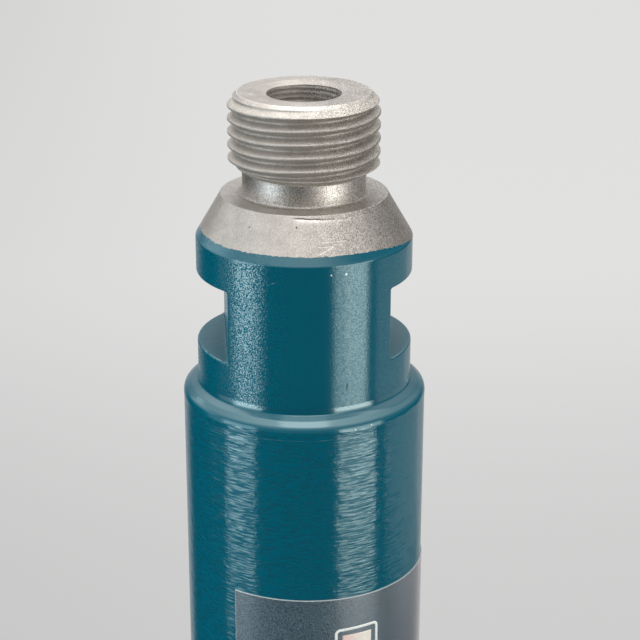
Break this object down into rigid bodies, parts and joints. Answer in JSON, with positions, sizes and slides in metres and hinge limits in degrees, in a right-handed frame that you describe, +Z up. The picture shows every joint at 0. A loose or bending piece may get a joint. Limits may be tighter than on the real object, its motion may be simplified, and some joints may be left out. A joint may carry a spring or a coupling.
{
  "type": "diamond core bit",
  "caption": "Wet diamond core bit: a painted steel tube with welded diamond segments and a turned connector with a male half-inch pipe thread and two spanner flats.",
  "frame": {"origin": "on the bit's axis, in the plane of the segment tips", "axes": "+Z up the bit to the threaded stub; the spanner flats face -X and +X"},
  "size_m": [0.036, 0.036, 0.3411],
  "materials": {
    "connector_steel": "teal enamel on the hub and flange; cone, shoulder and threaded stub are bare turned steel",
    "tube_paint": "glossy teal enamel over fine turning lines",
    "label_vinyl": "dark grey satin vinyl",
    "segment_matrix": "sintered metal matrix with diamond grit"
  },
  "bodies": {
    "root": {"connector": "connector_steel", "tube": "tube_paint", "label": "label_vinyl", "segment_1": "segment_matrix", "segment_2": "segment_matrix", "segment_3": "segment_matrix", "segment_4": "segment_matrix"}
  },
  "joints": []
}
